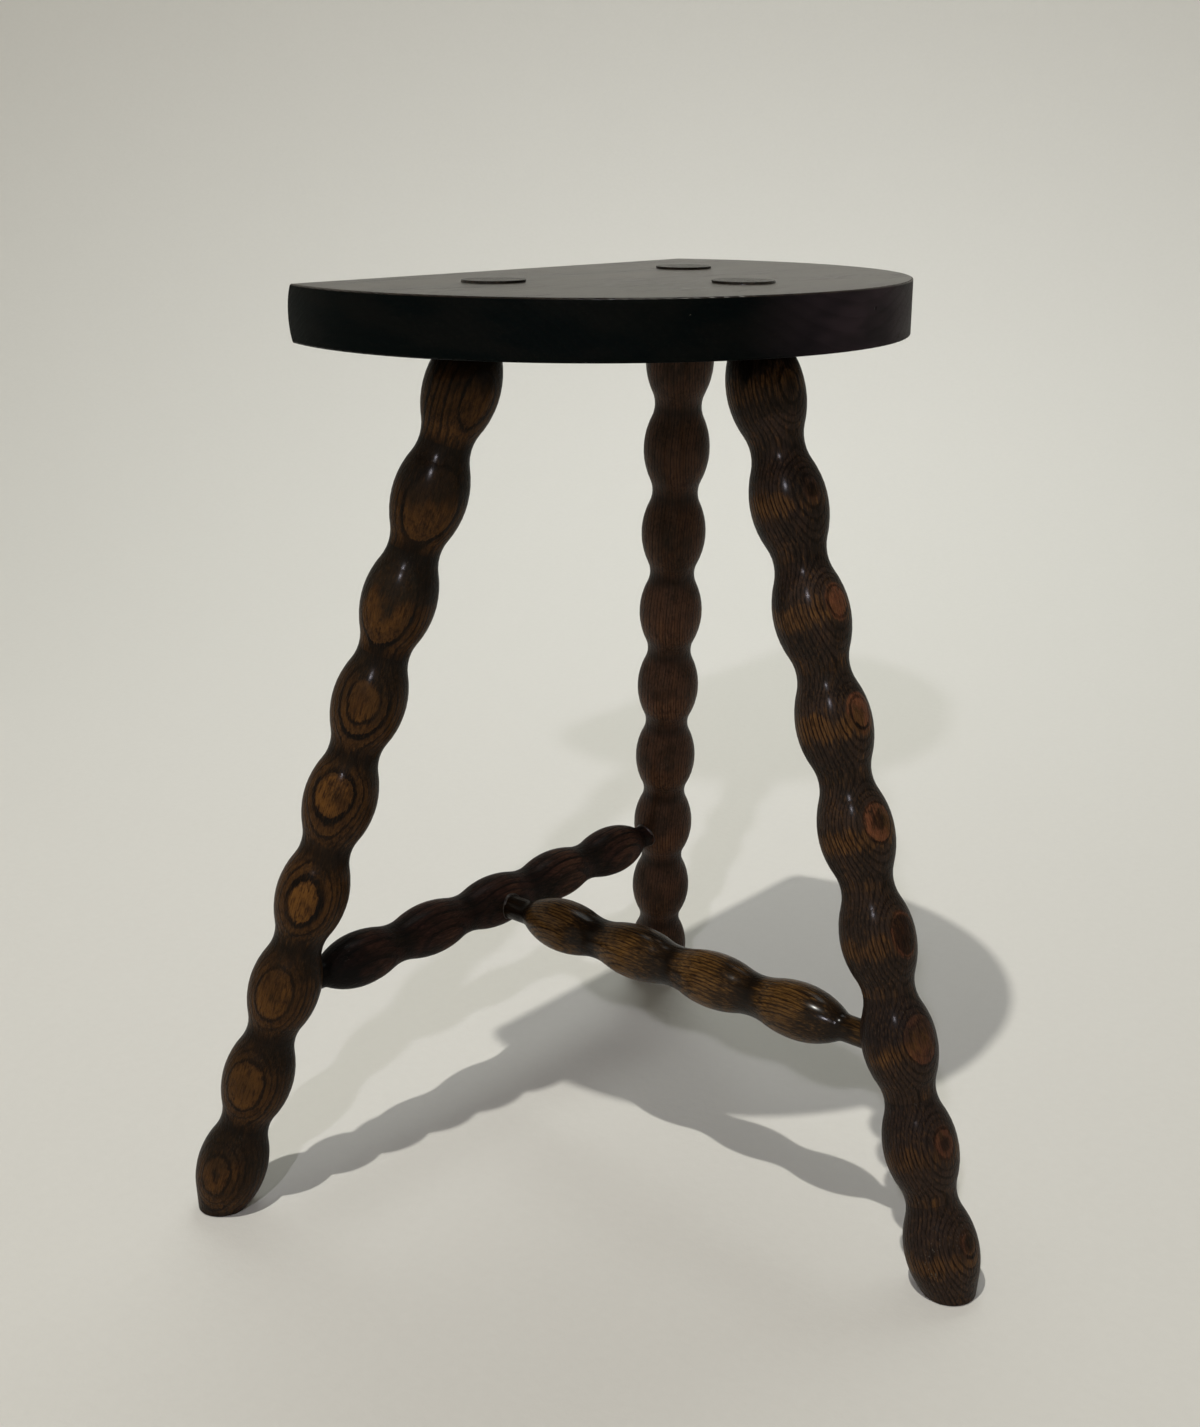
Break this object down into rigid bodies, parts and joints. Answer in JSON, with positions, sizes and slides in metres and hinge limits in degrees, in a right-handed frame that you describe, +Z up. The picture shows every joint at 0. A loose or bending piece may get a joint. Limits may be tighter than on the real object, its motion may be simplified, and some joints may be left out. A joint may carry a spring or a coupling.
{
  "type": "three-legged stool",
  "caption": "Stool with a D-shaped plank seat on splayed bobbin-turned legs, through-tenoned and wedged, tied by a T of turned stretchers.",
  "frame": {"origin": "on the floor, under the middle of the stool's bounding box", "axes": "+Z up; +Y towards the seat's straight edge and the pair of rear legs; the stool is alike on both sides of X = 0"},
  "size_m": [0.376, 0.3396, 0.451],
  "materials": {
    "seat_wood": "dark stained and waxed, satin",
    "leg_wood": "dark stained and waxed, worn on the beads",
    "stretcher_wood": "dark stained and waxed, worn on the beads",
    "wedge_wood": "dark stained and waxed"
  },
  "bodies": {
    "root": {"seat": "seat_wood", "leg_left": "leg_wood", "leg_right": "leg_wood", "leg_front": "leg_wood", "rear_stretcher": "stretcher_wood", "medial_stretcher": "stretcher_wood", "wedge_left": "wedge_wood", "wedge_right": "wedge_wood", "wedge_front": "wedge_wood"}
  },
  "joints": []
}
